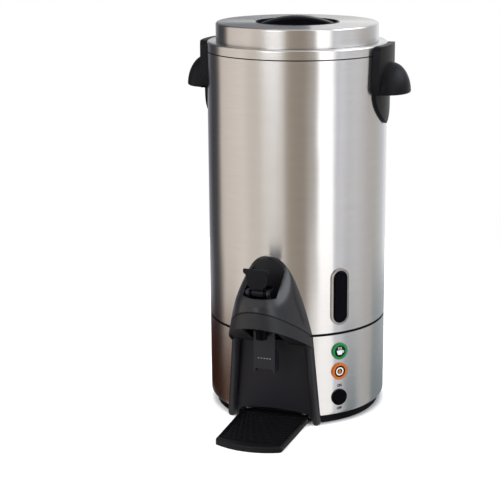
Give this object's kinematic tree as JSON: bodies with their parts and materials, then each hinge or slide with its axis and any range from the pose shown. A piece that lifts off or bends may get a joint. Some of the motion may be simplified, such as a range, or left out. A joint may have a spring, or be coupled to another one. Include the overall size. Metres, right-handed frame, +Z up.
{
  "type": "coffee urn",
  "caption": "Tall round double-walled steel coffee urn with lift-off lid, side handles, sight gauge, pilot lights and a hooded lever tap over a drip tray.",
  "frame": {"origin": "on the vertical axis of the round body, at the plane of the base ring that the urn stands on", "axes": "+Z up along the body's axis; the tap faces -Y; the handles are at +X and -X; the gauge and controls lie between -Y and +X"},
  "size_m": [0.3274, 0.3623, 0.5611],
  "materials": {
    "brushed_body": "stainless sheet brushed round the body",
    "plain_steel": "plain stainless sheet",
    "zinc_steel": "zinc-plated steel",
    "black_plastic": "satin black plastic",
    "gloss_black": "glossy black plastic",
    "hood_plastic": "satin dark grey plastic",
    "lever_plastic": "satin black plastic",
    "gasket_rubber": "black silicone rubber",
    "clear_silicone": "milky silicone",
    "red_silicone": "red silicone",
    "brass_parts": "turned brass",
    "tinted_window": "smoky clear plastic",
    "gauge_glass": "clear glass tube",
    "green_lamp": "green translucent plastic",
    "orange_lamp": "orange translucent plastic",
    "dial_black": "printed dial",
    "white_nylon": "natural nylon",
    "plate_alloy": "plain aluminium",
    "element_sheath": "oxidised element sheath",
    "ceramic_body": "ceramic and steel thermostat"
  },
  "bodies": {
    "urn": {"outer_shell": "brushed_body", "inner_tank": "plain_steel", "top_collar": "brushed_body", "seam_gasket": "gasket_rubber", "base_shell": "brushed_body", "base_pan": "black_plastic", "foot_ring": "gasket_rubber", "tie_rods": "zinc_steel", "tie_nuts": "zinc_steel", "handle_left": "black_plastic", "handle_right": "black_plastic", "handle_screws": "zinc_steel", "tap_hood": "hood_plastic", "tap_column": "hood_plastic", "hood_screws": "zinc_steel", "column_screws": "zinc_steel", "faucet_body": "gloss_black", "faucet_washers": "clear_silicone", "faucet_nut": "brass_parts", "bonnet": "gloss_black", "lever_pin": "zinc_steel", "gauge_bezel": "plain_steel", "gauge_housing": "gloss_black", "gauge_window": "tinted_window", "gauge_tube": "gauge_glass", "gauge_fittings": "brass_parts", "gauge_seals": "clear_silicone", "gauge_nuts": "brass_parts", "ready_light": "green_lamp", "heat_light": "orange_lamp", "light_caps": "dial_black", "light_nuts": "white_nylon", "switch_bezel": "gloss_black", "heater_plate": "plate_alloy", "heating_element": "element_sheath", "thermostats": "ceramic_body", "terminal_block": "white_nylon", "cord_gland": "black_plastic", "gland_nut": "black_plastic"},
    "lid": {"lid": "brushed_body", "lid_liner": "plain_steel", "lid_grip": "black_plastic", "lid_screws": "zinc_steel"},
    "percolator": {"perc_stem": "plain_steel", "pump_washer": "plain_steel", "basket": "plain_steel", "basket_cover": "plain_steel"},
    "valve": {"valve_stem": "gloss_black", "seat_cup": "red_silicone", "valve_spring": "zinc_steel"},
    "thumb_lever": {"thumb_lever": "lever_plastic"},
    "press_lever": {"press_lever": "lever_plastic"},
    "rocker": {"switch_rocker": "gloss_black"},
    "tray": {"drip_tray": "black_plastic"}
  },
  "joints": [
    {"name": "lid_lift", "type": "slide", "parent": "urn", "child": "lid", "axis": [0, 0, 1], "range_m": [0, 0.12]},
    {"name": "percolator_lift", "type": "slide", "parent": "urn", "child": "percolator", "axis": [0, 0, 1], "range_m": [0, 0.007]},
    {"name": "press_lever_swing", "type": "hinge", "parent": "urn", "child": "press_lever", "pos_m": [0, -0.1695, 0.206], "axis": [1, 0, 0], "range_deg": [0, 12], "stiffness_Nm_per_rad": 0.08, "springref_deg": -17.19},
    {"name": "thumb_lever_swing", "type": "hinge", "parent": "urn", "child": "thumb_lever", "pos_m": [0, -0.1695, 0.206], "axis": [1, 0, 0], "range_deg": [0, 12]},
    {"name": "valve_lift", "type": "slide", "parent": "urn", "child": "valve", "axis": [0, 0, 1], "range_m": [0, 0.00262], "stiffness_N_per_m": 400, "springref_m": -0.004, "deforming": ["valve_spring"]},
    {"name": "rocker_tilt", "type": "hinge", "parent": "urn", "child": "rocker", "pos_m": [0.09101, -0.08944, 0.0386], "axis": [0.7009, 0.7133, 0], "range_deg": [0, 12]},
    {"name": "tray_pull", "type": "slide", "parent": "urn", "child": "tray", "axis": [0, -1, 0], "range_m": [0, 0.03]}
  ],
  "couplings": [
    {"joint": "thumb_lever_swing", "follows": "press_lever_swing", "ratio": 1},
    {"joint": "valve_lift", "follows": "press_lever_swing", "m_per_rad": 0.0125}
  ]
}
